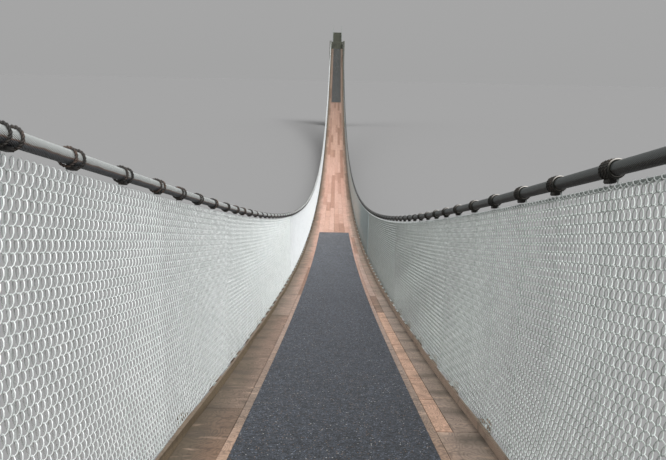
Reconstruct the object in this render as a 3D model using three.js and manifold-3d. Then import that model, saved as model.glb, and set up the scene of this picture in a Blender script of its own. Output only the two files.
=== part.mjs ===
import * as THREE from 'three';
import { mergeVertices } from 'three/addons/utils/BufferGeometryUtils.js';
import Module from 'manifold-3d';

// A pedestrian suspension bridge with a plank deck and wire-mesh sides, as a scale
// model at one tenth: 1 mm here is 10 mm on the real bridge.
// +Y runs along the bridge, +X to the right, +Z up. The origin lies on the ground
// under the middle of the span.

// Span and curve
const halfSpan = 6850;
const deckSag = 1021;
const deckClearance = 95; // deck top above the ground at mid span
const bayLength = 64; // from one hanger to the next
const sectionEdgesInBays = [15.5, 46.5, 76.5]; // joints between deck sections, from mid span
const facetsPerSection = 8;
const touchGap = 0.3; // between parts that touch

// Deck
const deckHalfWidth = 84;
const boardThickness = 4.5;
const kerbOuterFace = 82.4;
const kerbWidth = 2.6;
const kerbHeight = 6;
const kerbRuns = 4; // lengths of kerb on each side
const matHalfWidth = 52;
const matThickness = 1;
const nearMatEnd = -2279;
const farMatStart = 4015;

// Cross-beams and stringers under the deck
const beamHalfLength = 98;
const beamWidth = 10;
const beamDepth = 14;
const baysPerBeam = 4;
const stringerOffset = 62;
const stringerWidth = 8;
const stringerDepth = 9;

// Main cables, hangers and mesh sides
const cableOffset = 91;
const cableRadius = 2.5;
const cableSides = 8;
const cableSteps = 64;
const cableHeightMid = 112; // cable axis above the deck at mid span
const cableHeightGain = 49.3; // what the deck's curve leaves by the ends of the span
const cableDip = 61.3; // how far the anchor blocks draw the cable down again
const cableDipStart = 4600;
const cableEndGap = 1; // its square-cut end clears the anchor block's upright face
const hangerSize = 1.6;
const hangerSeatGap = 0.5;
const hangerOffset = 92.1;
const meshThickness = 2.4;
const meshTopBelowCable = 5.8; // below the cable's axis
const meshFootBelowDeck = 3;

// End piers
const pierHalfWidth = 108;
const pierLength = 480;
const pierTopBelowDeck = 20;
const footingHalfWidth = 140;
const footingReach = 35; // past the pier's own faces along the bridge
const footingHeight = 50;
const anchorInnerFace = 81;
const anchorLength = 120;
const anchorHeight = 112; // above the end of the deck

// Steps and their pipe rails
const upperFlightHalfWidth = 65.5;
const lowerFlightHalfWidth = 80;
const lowerFlightRisers = 6;
const thresholdLength = 50;
const riserCount = 14;
const riserHeight = 17.8;
const treadLength = 28;
const landingEnd = 472; // back edge of the top landing from the pier's front face
const railOffset = 60;
const pipeRadius = 2.4;
const pipeSides = 8;
const railHeight = 95;
const midRailHeight = 48;
const railFirstStep = 6;
const railMiddleStep = 10;
const railTopRun = 60; // level run of the rail over the top landing

const along = new THREE.Vector3(0, 1, 0);
const up = new THREE.Vector3(0, 0, 1);
const across = new THREE.Vector3(1, 0, 0);

const wasm = await Module();
wasm.setup();

function deckTop(y) {
  return deckClearance + deckSag * (y / halfSpan) ** 2;
}

function cableAxis(y) {
  const gain = cableHeightGain * (y / halfSpan) ** 2;
  const pastDip = Math.max(0, Math.abs(y) - cableDipStart) / (halfSpan - cableDipStart);
  return deckTop(y) + cableHeightMid + gain - cableDip * pastDip ** 2;
}

const deckEnd = deckTop(halfSpan);

function solidFrom(geometry) {
  const bare = geometry.clone();
  bare.deleteAttribute('normal');
  bare.deleteAttribute('uv');
  const welded = mergeVertices(bare, 1e-4);
  const index = welded.index.array;
  return new wasm.Manifold(new wasm.Mesh({
    numProp: 3,
    vertProperties: new Float32Array(welded.attributes.position.array),
    triVerts: new Uint32Array(index),
  }));
}

function geometryFrom(solid) {
  const mesh = solid.getMesh();
  const geometry = new THREE.BufferGeometry();
  geometry.setAttribute('position', new THREE.BufferAttribute(mesh.vertProperties, 3));
  geometry.setIndex(new THREE.BufferAttribute(mesh.triVerts, 1));
  const flat = geometry.toNonIndexed();
  flat.computeVertexNormals();
  return flat;
}

function join(geometries) {
  let whole = solidFrom(geometries[0]);
  for (const geometry of geometries.slice(1)) {
    whole = whole.add(solidFrom(geometry));
  }
  return geometryFrom(whole);
}

function box(x0, x1, y0, y1, z0, z1) {
  const geometry = new THREE.BoxGeometry(x1 - x0, y1 - y0, z1 - z0);
  geometry.translate((x0 + x1) / 2, (y0 + y1) / 2, (z0 + z1) / 2);
  return geometry;
}

// A side view drawn in Y and Z, given its width in X.
function sideProfile(points, x0, x1) {
  const outline = new THREE.Shape(points.map(([y, z]) => new THREE.Vector2(y, z)));
  const geometry = new THREE.ExtrudeGeometry(outline, { depth: x1 - x0, bevelEnabled: false });
  geometry.applyMatrix4(new THREE.Matrix4().makeBasis(along, up, across).setPosition(x0, 0, 0));
  return geometry;
}

// A strip that follows a curve along the bridge.
function strip(x0, x1, stations, bottomAt, topAt) {
  const bottom = stations.map((y) => [y, bottomAt(y)]);
  const top = stations.map((y) => [y, topAt(y)]);
  return sideProfile([...bottom, ...top.reverse()], x0, x1);
}

function ringShape(radius, sides) {
  const points = [];
  for (let i = 0; i < sides; i += 1) {
    const angle = (i + 0.5) * 2 * Math.PI / sides;
    const reach = radius / Math.cos(Math.PI / sides);
    points.push(new THREE.Vector2(reach * Math.cos(angle), reach * Math.sin(angle)));
  }
  return new THREE.Shape(points);
}

function pipe(from, to) {
  const length = from.distanceTo(to);
  const geometry = new THREE.CylinderGeometry(pipeRadius, pipeRadius, length, pipeSides);
  const direction = to.clone().sub(from).normalize();
  geometry.applyQuaternion(new THREE.Quaternion().setFromUnitVectors(along, direction));
  const middle = from.clone().add(to).multiplyScalar(0.5);
  geometry.translate(middle.x, middle.y, middle.z);
  return geometry;
}

const cedar = new THREE.MeshStandardMaterial({ color: '#a8836b', roughness: 0.85, metalness: 0 });
const darkTimber = new THREE.MeshStandardMaterial({ color: '#6f5f50', roughness: 0.85, metalness: 0 });
const mineralMat = new THREE.MeshStandardMaterial({ color: '#44474d', roughness: 0.95, metalness: 0 });
const galvanised = new THREE.MeshStandardMaterial({ color: '#b4bab8', roughness: 0.5, metalness: 0.8 });
const wireRope = new THREE.MeshStandardMaterial({ color: '#75797a', roughness: 0.55, metalness: 0.7 });
const concrete = new THREE.MeshStandardMaterial({ color: '#86857e', roughness: 0.9, metalness: 0 });

const bridge = new THREE.Group();

function add(group, name, geometry, material) {
  const mesh = new THREE.Mesh(geometry, material);
  mesh.name = name;
  group.add(mesh);
}

// Deck sections from the near end to the far end, each cut into straight facets.
const positiveEdges = [...sectionEdgesInBays.map((bays) => bays * bayLength), halfSpan];
const sectionEdges = [...positiveEdges.map((y) => -y).reverse(), ...positiveEdges];
const sections = [];
for (let i = 0; i + 1 < sectionEdges.length; i += 1) {
  const stations = [];
  for (let k = 0; k <= facetsPerSection; k += 1) {
    stations.push(THREE.MathUtils.lerp(sectionEdges[i], sectionEdges[i + 1], k / facetsPerSection));
  }
  sections.push(stations);
}
const allStations = [...sections.flatMap((stations) => stations.slice(0, -1)), halfSpan];

// The same stations, held back a little at both ends so that neighbours only touch.
function heldBack(stations) {
  const inner = stations.slice(1, -1);
  return [stations[0] + touchGap / 2, ...inner, stations[stations.length - 1] - touchGap / 2];
}

// Facets lie on straight lines between stations, so strips on the deck follow those lines.
function deckLine(y) {
  const next = Math.max(1, allStations.findIndex((station) => station >= y));
  const before = allStations[next - 1];
  const after = allStations[next];
  return THREE.MathUtils.lerp(deckTop(before), deckTop(after), (y - before) / (after - before));
}

const beamTop = (y) => deckLine(y) - boardThickness - touchGap;

sections.forEach((stations, i) => {
  const number = String(i + 1).padStart(2, '0');
  const held = heldBack(stations);
  const first = held[0];
  const last = held[held.length - 1];
  const beams = [];
  for (let y = -104 * bayLength; y <= halfSpan; y += baysPerBeam * bayLength) {
    if (y > first + beamWidth && y < last - beamWidth) beams.push(y);
  }

  const deck = strip(-deckHalfWidth, deckHalfWidth, held, (y) => deckLine(y) - boardThickness, deckLine);
  add(bridge, `deck_${number}`, deck, cedar);

  const bearers = [];
  for (const side of [-1, 1]) {
    const middle = side * stringerOffset;
    const x0 = middle - stringerWidth / 2;
    bearers.push(strip(x0, x0 + stringerWidth, held, (y) => beamTop(y) - stringerDepth, beamTop));
  }
  for (const y of beams) {
    const ends = [y - beamWidth / 2, y + beamWidth / 2];
    bearers.push(strip(-beamHalfLength, beamHalfLength, ends, (v) => beamTop(v) - beamDepth, beamTop));
  }
  add(bridge, `crossbeams_${number}`, join(bearers), darkTimber);

  for (const side of [-1, 1]) {
    const meshX = side * cableOffset - meshThickness / 2;
    const hangerX = side * hangerOffset - hangerSize / 2;
    const sheet = strip(meshX, meshX + meshThickness, held, (y) => deckLine(y) - meshFootBelowDeck,
      (y) => cableAxis(y) - meshTopBelowCable);
    const pieces = [sheet];
    for (const y of beams) {
      const foot = Math.max(beamTop(y - hangerSize / 2), beamTop(y + hangerSize / 2)) + touchGap;
      const head = cableAxis(y) - cableRadius - hangerSeatGap;
      pieces.push(box(hangerX, hangerX + hangerSize, y - hangerSize / 2, y + hangerSize / 2, foot, head));
    }
    add(bridge, `mesh_${side < 0 ? 'left' : 'right'}_${number}`, join(pieces), galvanised);
  }
});

// Main cables, each from anchor block to anchor block.
const cablePoints = [];
for (let i = 0; i <= cableSteps; i += 1) {
  const y = THREE.MathUtils.lerp(-halfSpan + cableEndGap, halfSpan - cableEndGap, i / cableSteps);
  cablePoints.push(new THREE.Vector3(0, y, cableAxis(y)));
}
const cableCurve = new THREE.CatmullRomCurve3(cablePoints);
for (const side of [-1, 1]) {
  const cable = new THREE.ExtrudeGeometry(ringShape(cableRadius, cableSides), {
    steps: cableSteps,
    extrudePath: cableCurve,
  });
  cable.translate(side * cableOffset, 0, 0);
  add(bridge, `cable_${side < 0 ? 'left' : 'right'}`, cable, wireRope);
}

function stationsBetween(start, end) {
  const inner = allStations.filter((y) => y > start + 1 && y < end - 1);
  return [start, ...inner, end];
}

// A layer that lies on the deck.
function deckLayer(x0, x1, stations, thickness) {
  return strip(x0, x1, stations, (y) => deckLine(y) + touchGap, (y) => deckLine(y) + touchGap + thickness);
}

// Kerb planks set on edge along both sides of the deck, each in runs laid end to end.
const kerbRunLength = 2 * halfSpan / kerbRuns;
for (const side of [-1, 1]) {
  const x0 = side < 0 ? -kerbOuterFace : kerbOuterFace - kerbWidth;
  for (let run = 0; run < kerbRuns; run += 1) {
    const start = run * kerbRunLength - halfSpan;
    const stations = heldBack(stationsBetween(start, start + kerbRunLength));
    const kerb = deckLayer(x0, x0 + kerbWidth, stations, kerbHeight);
    add(bridge, `kerb_${side < 0 ? 'left' : 'right'}_0${run + 1}`, kerb, cedar);
  }
}

// Two anti-slip mats, which leave the middle of the deck bare.
for (const [name, start, end] of [
  ['mat_near', -halfSpan + touchGap, nearMatEnd],
  ['mat_far', farMatStart, halfSpan - touchGap],
]) {
  const stations = stationsBetween(start, end);
  add(bridge, name, deckLayer(-matHalfWidth, matHalfWidth, stations, matThickness), mineralMat);
}

// One end of the bridge: concrete pier with its anchor blocks, steps, and pipe rails.
// It is drawn at the far end, where y is measured from the pier's front face.
function pierGeometry() {
  const top = deckEnd - pierTopBelowDeck;
  const pieces = [
    box(-footingHalfWidth, footingHalfWidth, -footingReach, pierLength + footingReach, 0, footingHeight),
    box(-pierHalfWidth, pierHalfWidth, 0, pierLength, 0, top),
  ];
  for (const side of [-1, 1]) {
    const x0 = side < 0 ? -pierHalfWidth : anchorInnerFace;
    const width = pierHalfWidth - anchorInnerFace;
    pieces.push(box(x0, x0 + width, 0, anchorLength, top - footingHeight, deckEnd + anchorHeight));
  }
  return join(pieces);
}

function stepFront(step) {
  return thresholdLength + (step - 1) * treadLength;
}

// A solid flight from the threshold up to its last riser, cut off square behind.
function flight(risers, back, halfWidth) {
  const base = deckEnd - pierTopBelowDeck + touchGap;
  const points = [[touchGap, base], [back, base], [back, deckEnd + risers * riserHeight]];
  for (let step = risers; step >= 1; step -= 1) {
    points.push([stepFront(step), deckEnd + step * riserHeight]);
    points.push([stepFront(step), deckEnd + (step - 1) * riserHeight]);
  }
  points.push([touchGap, deckEnd]);
  return sideProfile(points, -halfWidth, halfWidth);
}

// The first steps are as wide as the deck, and the rest run between the pipe rails.
function stepsGeometry() {
  const lower = flight(lowerFlightRisers, stepFront(lowerFlightRisers + 1), lowerFlightHalfWidth);
  return join([lower, flight(riserCount, landingEnd, upperFlightHalfWidth)]);
}

function railGeometry(x) {
  const posts = [railFirstStep, railMiddleStep, riserCount];
  const pieces = [];
  const heads = [];
  const middles = [];
  for (const step of posts) {
    const y = stepFront(step) + treadLength / 2;
    const foot = deckEnd + step * riserHeight;
    heads.push(new THREE.Vector3(x, y, foot + railHeight));
    middles.push(new THREE.Vector3(x, y, foot + midRailHeight));
    pieces.push(pipe(new THREE.Vector3(x, y, foot + touchGap), new THREE.Vector3(x, y, foot + railHeight)));
  }
  for (const line of [heads, middles]) {
    const last = line[line.length - 1];
    const end = new THREE.Vector3(x, last.y + railTopRun, last.z);
    pieces.push(pipe(line[0], last));
    pieces.push(pipe(last, end));
  }
  const endY = heads[heads.length - 1].y + railTopRun;
  const landing = deckEnd + riserCount * riserHeight;
  const foot = new THREE.Vector3(x, endY, landing + touchGap);
  pieces.push(pipe(foot, new THREE.Vector3(x, endY, landing + railHeight)));
  return join(pieces);
}

function addEnd(place) {
  const end = new THREE.Group();
  const inner = new THREE.Group();
  inner.position.y = halfSpan;
  end.add(inner);
  if (place === 'near') end.rotation.z = Math.PI;
  add(inner, `pier_${place}`, pierGeometry(), concrete);
  add(inner, `steps_${place}`, stepsGeometry(), darkTimber);
  const left = place === 'near' ? railOffset : -railOffset;
  add(inner, `rail_${place}_left`, railGeometry(left), galvanised);
  add(inner, `rail_${place}_right`, railGeometry(-left), galvanised);
  bridge.add(end);
}
addEnd('near');
addEnd('far');

export default bridge;
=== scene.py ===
import bpy
import math
import random
import numpy as np
from functools import partial
from mathutils import Euler, Matrix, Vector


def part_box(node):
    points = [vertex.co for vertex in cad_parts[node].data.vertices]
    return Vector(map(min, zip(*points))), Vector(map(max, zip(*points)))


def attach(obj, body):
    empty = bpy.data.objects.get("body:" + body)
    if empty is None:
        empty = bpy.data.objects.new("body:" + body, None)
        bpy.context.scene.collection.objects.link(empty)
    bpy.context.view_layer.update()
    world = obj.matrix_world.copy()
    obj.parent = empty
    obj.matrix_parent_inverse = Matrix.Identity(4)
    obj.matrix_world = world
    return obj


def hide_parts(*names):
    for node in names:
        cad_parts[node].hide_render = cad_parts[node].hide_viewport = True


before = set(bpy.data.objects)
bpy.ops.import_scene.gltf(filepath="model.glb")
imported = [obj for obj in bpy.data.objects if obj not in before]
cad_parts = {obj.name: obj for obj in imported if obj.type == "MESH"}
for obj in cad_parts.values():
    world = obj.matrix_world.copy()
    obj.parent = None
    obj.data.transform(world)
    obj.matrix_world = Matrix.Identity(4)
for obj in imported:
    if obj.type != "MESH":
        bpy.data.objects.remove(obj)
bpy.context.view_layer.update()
dice = random.Random(7)

# The bridge is a model at one tenth, in metres: 0.001 here is 10 mm on the real bridge.
span = {"half": 6.85, "sag": 1.021, "clear": 0.095, "bay": 0.064, "baysPerBeam": 2, "lastHanger": 106,
        "sections": 7}
cable = {"offset": 0.091, "radius": 0.0025, "mid": 0.112, "gain": 0.0493, "dip": 0.0613, "dipStart": 4.6,
         "step": 0.05, "faces": 16, "endGap": 0.001}
beamPitch = span["bay"] * span["baysPerBeam"]
sides = ((-1, "left"), (1, "right"))
bridgeEnds = ((-1, "near"), (1, "far"))


def deckTop(y):
    return span["clear"] + span["sag"] * (y / span["half"]) ** 2


def cableAxis(y):
    share = y / span["half"]
    past = np.maximum(0.0, np.abs(y) - cable["dipStart"]) / (span["half"] - cable["dipStart"])
    return deckTop(y) + cable["mid"] + cable["gain"] * share ** 2 - cable["dip"] * past ** 2


def slopeOf(curve, y):
    reach = 0.001
    return math.atan((float(curve(y + reach)) - float(curve(y - reach))) / (2 * reach))


# Camera, at the photograph's place on the deck; angles in degrees, lens in mm
view = {"place": (-0.003, -5.0796, 0.7641), "pitch": 11.04, "turnLeft": 0.02, "roll": 1.14,
        "focal": 43.38, "sensor": 36.0, "clip": (0.05, 200)}
lensData = bpy.data.cameras.new("camera")
lensData.lens = view["focal"]
lensData.sensor_width = view["sensor"]
lensData.clip_start, lensData.clip_end = view["clip"]
cameraObject = bpy.data.objects.new("camera", lensData)
bpy.context.scene.collection.objects.link(cameraObject)
aim = Euler((math.radians(90 - view["pitch"]), 0, math.radians(view["turnLeft"]))).to_matrix()
aim = aim @ Matrix.Rotation(math.radians(view["roll"]), 3, "Z")
cameraObject.location = view["place"]
cameraObject.rotation_euler = aim.to_euler()
bpy.context.scene.camera = cameraObject
print("camera set")


# Small helpers
def startFresh():
    # object mode, with nothing selected
    if bpy.context.object and bpy.context.object.mode != "OBJECT":
        bpy.ops.object.mode_set(mode="OBJECT")
    bpy.ops.object.select_all(action="DESELECT")


def editMode(corners=False):
    # edit mode on faces or corners, with nothing selected
    bpy.ops.object.mode_set(mode="EDIT")
    bpy.context.tool_settings.mesh_select_mode = (corners, False, not corners)
    bpy.ops.mesh.select_all(action="DESELECT")


def objectMode():
    bpy.ops.object.mode_set(mode="OBJECT")


def pick(piece):
    startFresh()
    piece.select_set(True)
    bpy.context.view_layer.objects.active = piece


def finishPiece(piece, material, slotName, *nodes):
    # the finish, the body and what it stands for
    piece.data.materials.clear()
    piece.data.materials.append(material)
    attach(piece, "root")
    if nodes:
        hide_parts(*nodes)


def addMesh(name, points, corners, sizes, smooth=False):
    # a mesh from flat lists: vertex places, face corners, and corners per face
    mesh = bpy.data.meshes.new(name)
    mesh.vertices.add(len(points))
    mesh.vertices.foreach_set("co", np.asarray(points, np.float32).ravel())
    mesh.loops.add(len(corners))
    mesh.loops.foreach_set("vertex_index", np.asarray(corners, np.int32))
    starts = np.concatenate([[0], np.cumsum(sizes)[:-1]]).astype(np.int32)
    mesh.polygons.add(len(sizes))
    mesh.polygons.foreach_set("loop_start", starts)
    mesh.polygons.foreach_set("use_smooth", np.full(len(sizes), smooth))
    mesh.update(calc_edges=True)
    piece = bpy.data.objects.new(name, mesh)
    bpy.context.scene.collection.objects.link(piece)
    return piece


def readMesh(piece):
    mesh = piece.data
    points = np.empty(len(mesh.vertices) * 3, np.float32)
    mesh.vertices.foreach_get("co", points)
    corners = np.empty(len(mesh.loops), np.int32)
    mesh.loops.foreach_get("vertex_index", corners)
    sizes = np.array([len(face.vertices) for face in mesh.polygons])
    return points.reshape(-1, 3).astype(float), corners, sizes


def copyMany(master, name, places, follow=None, smooth=False):
    # One joined mesh with a copy of the master at every place. A place gives scale, shift, tilt about X,
    # a half turn for the near end, and a tone, which tells one copy's finish from the next.
    points, corners, sizes = readMesh(master)
    count = len(points)
    allPoints, allCorners, tones = [], [], []
    for index, place in enumerate(places):
        spot = points * np.array(place.get("scale", (1, 1, 1)))
        tilt = place.get("tilt", 0.0)
        if tilt:
            c, s = math.cos(tilt), math.sin(tilt)
            turned = spot.copy()
            turned[:, 1] = spot[:, 1] * c - spot[:, 2] * s
            turned[:, 2] = spot[:, 1] * s + spot[:, 2] * c
            spot = turned
        spot = spot + np.array(place["shift"])
        if place.get("turn"):
            spot[:, :2] *= -1
        if follow is not None:
            spot[:, 2] += follow(spot[:, 1])
        allPoints.append(spot)
        allCorners.append(corners + index * count)
        tones.append(np.full(count, place.get("tone", 0.5)))
    piece = addMesh(name, np.concatenate(allPoints), np.concatenate(allCorners), np.tile(sizes, len(places)),
                    smooth)
    tone = piece.data.attributes.new("tone", "FLOAT", "POINT")
    tone.data.foreach_set("value", np.concatenate(tones).astype(np.float32))
    return piece


def dropMaster(master):
    mesh = master.data
    bpy.data.objects.remove(master)
    bpy.data.meshes.remove(mesh)


def blockMaster(size, bevel=0.0, cuts=0):
    # a block about the origin with eased edges, cut across its length where it has to bend
    startFresh()
    bpy.ops.mesh.primitive_cube_add(size=1)
    master = bpy.context.object
    master.scale = size
    bpy.ops.object.transform_apply(location=False, rotation=False, scale=True)
    bpy.ops.object.mode_set(mode="EDIT")
    bpy.ops.mesh.select_all(action="SELECT")
    if bevel:
        bpy.ops.mesh.bevel(offset=bevel, segments=1, affect="EDGES")
    for index in range(cuts):
        bpy.ops.mesh.select_all(action="SELECT")
        place = size[1] * ((index + 1) / (cuts + 1) - 0.5)
        bpy.ops.mesh.bisect(plane_co=(0, place, 0), plane_no=(0, 1, 0))
    objectMode()
    return master


def copyBlocks(name, size, places, bevel=0.0, cuts=0, follow=None):
    # one joined mesh of blocks of one size, with a block at every place
    master = blockMaster(size, bevel, cuts)
    piece = copyMany(master, name, places, follow)
    dropMaster(master)
    return piece


def wires(name, routes, radius, faces):
    # round wires along routes, each a list of points, swept with a small ring of flat faces and capped
    ring = bpy.data.curves.new("ring", "CURVE")
    loop = ring.splines.new("POLY")
    loop.points.add(faces - 1)
    for index in range(faces):
        angle = -2 * math.pi * (index + 0.5) / faces
        loop.points[index].co = (radius * math.cos(angle), radius * math.sin(angle), 0, 1)
    loop.use_cyclic_u = True
    ringObject = bpy.data.objects.new("ring", ring)
    bpy.context.scene.collection.objects.link(ringObject)
    path = bpy.data.curves.new(name, "CURVE")
    path.dimensions = "3D"
    path.bevel_mode = "OBJECT"
    path.bevel_object = ringObject
    path.use_fill_caps = True
    for route in routes:
        spline = path.splines.new("POLY")
        spline.points.add(len(route) - 1)
        flat = np.ones((len(route), 4))
        flat[:, :3] = route
        spline.points.foreach_set("co", flat.ravel())
    piece = bpy.data.objects.new(name, path)
    bpy.context.scene.collection.objects.link(piece)
    pick(piece)
    bpy.ops.object.convert(target="MESH")
    bpy.ops.object.mode_set(mode="EDIT")
    bpy.ops.mesh.select_all(action="SELECT")
    bpy.ops.mesh.remove_doubles(threshold=radius * 0.02)   # joins the caps to the wires
    objectMode()
    bpy.data.objects.remove(ringObject)
    bpy.data.curves.remove(ring)
    # round all along, sharp only where the ends are cut
    bpy.ops.object.shade_smooth()
    editMode()
    bpy.ops.mesh.select_face_by_sides(number=4, type="NOTEQUAL")
    bpy.ops.mesh.mark_sharp()
    objectMode()
    return piece


def colour(hexCode):
    # sRGB hex to linear
    parts = [int(hexCode[i:i + 2], 16) / 255 for i in (1, 3, 5)]
    return tuple(c / 12.92 if c <= 0.04045 else ((c + 0.055) / 1.055) ** 2.4 for c in parts) + (1.0,)


def addNode(tree, kind, *inputs, stops=(), **settings):
    # One shader node. An input, by number or by name, is a value or else the node or socket that feeds it.
    # Other settings are the node's own, and stops are those of a ramp.
    node = tree.nodes.new("ShaderNode" + kind)
    sockets = dict(enumerate(inputs))
    for name, value in settings.items():
        if hasattr(node, name):
            setattr(node, name, value)
        else:
            sockets[name] = value
    for socket, value in sockets.items():
        if isinstance(value, bpy.types.Node):
            value = value.outputs[0]
        if isinstance(value, bpy.types.NodeSocket):
            tree.links.new(value, node.inputs[socket])
        else:
            node.inputs[socket].default_value = value
    while stops and len(node.color_ramp.elements) < len(stops):
        node.color_ramp.elements.new(0.5)
    for index, (place, shade) in enumerate(stops):
        element = node.color_ramp.elements[index]
        element.position = place
        element.color = colour(shade) if isinstance(shade, str) else (shade, shade, shade, 1)
    return node


def newMaterial(name, metallic, roughness):
    # a material, and the function above with the material's own tree already given
    material = bpy.data.materials.new(name)
    material.use_nodes = True
    shader = material.node_tree.nodes["Principled BSDF"]
    shader.inputs["Metallic"].default_value = metallic
    shader.inputs["Roughness"].default_value = roughness
    return material, partial(addNode, material.node_tree)


def surface(add, stretch=(1, 1, 1)):
    # object coordinates, squeezed or stretched along the three axes
    place = add("TexCoord").outputs["Object"]
    return add("Mapping", Vector=place, Scale=stretch)


def alongBridge(add):
    # 0 at the near end of the span, 1 at the far end; and the distance from the middle of the deck
    place = add("SeparateXYZ", surface(add)).outputs
    share = add("Math", place["Y"], 0.5 / span["half"], 0.5, operation="MULTIPLY_ADD")
    return share, add("Math", place["X"], operation="ABSOLUTE")


def upwardness(add):
    # 1 where a face looks straight up, -1 where it looks down
    normal = add("NewGeometry").outputs["Normal"]
    return add("SeparateXYZ", normal).outputs["Z"]


def ripple(add, phase):
    # a wave from -1 to 1, and the same wave from 0 to 1
    wave = add("Math", phase, operation="SINE")
    return wave, add("Math", wave, 0.5, 0.5, operation="MULTIPLY_ADD")


def darken(add, base, pattern, stops, amount=1.0):
    # multiplies a colour by a pattern that is read through a ramp
    ramp = add("ValToRGB", pattern, stops=stops)
    return add("MixRGB", amount, base, ramp, blend_type="MULTIPLY")


def tint(add, base, shade, pattern, stops):
    # lays one shade over a colour where a pattern, read through a ramp, is strong
    ramp = add("ValToRGB", pattern, stops=stops)
    return add("MixRGB", ramp, base, colour(shade))


def roughen(add, value, noise, spread):
    # shifts a value by a noise, half of the spread each way
    middle = add("Math", value, -spread / 2, operation="ADD")
    return add("Math", noise, spread, middle, operation="MULTIPLY_ADD")


def paint(material, base, height=None, strength=0.0, depth=0.0):
    # gives the shader its colour and, where there is a height, its relief
    tree = material.node_tree
    shader = tree.nodes["Principled BSDF"]
    tree.links.new(base.outputs[0], shader.inputs["Base Color"])
    if height is not None:
        bump = addNode(tree, "Bump", Strength=strength, Distance=depth, Height=height)
        tree.links.new(bump.outputs[0], shader.inputs["Normal"])


# Weathered cedar: sawn softwood, grey-brown towards the ends and pink at mid span, partly from weathering and
# partly painted light: painted shade towards the ends and painted light at mid span.
# Its grain, 1 mm wide here and so 10 mm on the real boards, is drawn some four times coarser than life to show.
cedarLook = {"roughness": 0.8, "grain": 900.0, "along": 0.05, "marks": 60.0, "swirl": 70.0, "rings": 20.0,
             "bump": 0.5, "depth": 0.0004,
             "middle": [(0.0, "#a68f7c"), (0.159, "#ab917d"), (0.161, "#95867a"), (0.21, "#b2988a"),
                        (0.3, "#dcb3a2"), (0.36, "#e1b8a6"), (0.5, "#dcb1a0"), (0.62, "#bf9a87"),
                        (0.8, "#95796a"), (1.0, "#76655a")],
             "left": [(0.0, "#716559"), (0.15, "#746a5e"), (0.2, "#8e7f73"), (0.3, "#a69689"), (0.4, "#b09484"),
                      (0.6, "#a08572"), (0.75, "#84715f"), (1.0, "#6b5d50")],
             "right": [(0.0, "#8d7d6f"), (0.14, "#97867a"), (0.19, "#a8968a"), (0.3, "#b8a599"),
                       (0.4, "#ba9f8f"), (0.6, "#a88d7c"), (0.75, "#84715f"), (1.0, "#6b5d50")],
             "edge": [(0.52, 0.0), (0.75, 1.0)], "ragged": 0.03,
             "tones": [(0.0, "#c3b6aa"), (0.14, "#d6cbc2"), (0.3, "#f1ebe6"), (0.85, "#ffffff")],
             "fresh": "#cfa68c", "freshFrom": [(0.88, 0.0), (0.94, 0.75)],
             "figure": [(0.0, 0.62), (0.35, 1.0), (0.7, 1.0), (1.0, 0.62)], "fine": [(0.3, 0.76), (0.55, 1.0)],
             "worn": [(0.34, 0.68), (0.48, 0.96), (0.6, 1.0)],
             "scuff": "#d8b9a2", "scuffFrom": [(0.6, 0.0), (0.7, 0.4)],
             "dirt": "#5d5343", "dirtFrom": [(0.62, 0.0), (0.8, 0.5)],
             "stain": "#4b4238", "stainFrom": [(0.28, 0.0), (0.44, 0.62), (0.5, 0.75)],
             "stainEdge": [(0.6, 0.0), (0.74, 1.0)], "stainReach": [(0.17, 1.0), (0.23, 0.3)],
             "stainRagged": 0.3}


def sawnFace(add):
    # each board's own tone and fine grain, and its crosswise wear marks and knots, pale and dark
    tone = add("Attribute", attribute_name="tone").outputs["Fac"]
    own = {"W": add("Math", tone, 37.0, operation="MULTIPLY"), "noise_dimensions": "4D"}
    fine = add("TexNoise", Vector=surface(add, (1, cedarLook["along"], 1)), Scale=cedarLook["grain"],
               Detail=4.0, Roughness=0.6, **own)
    marks = add("TexNoise", Vector=surface(add, (0.7, 2.0, 1)), Scale=cedarLook["marks"], Detail=3.0,
                Distortion=1.2, **own)
    return tone, own, fine, marks


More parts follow.
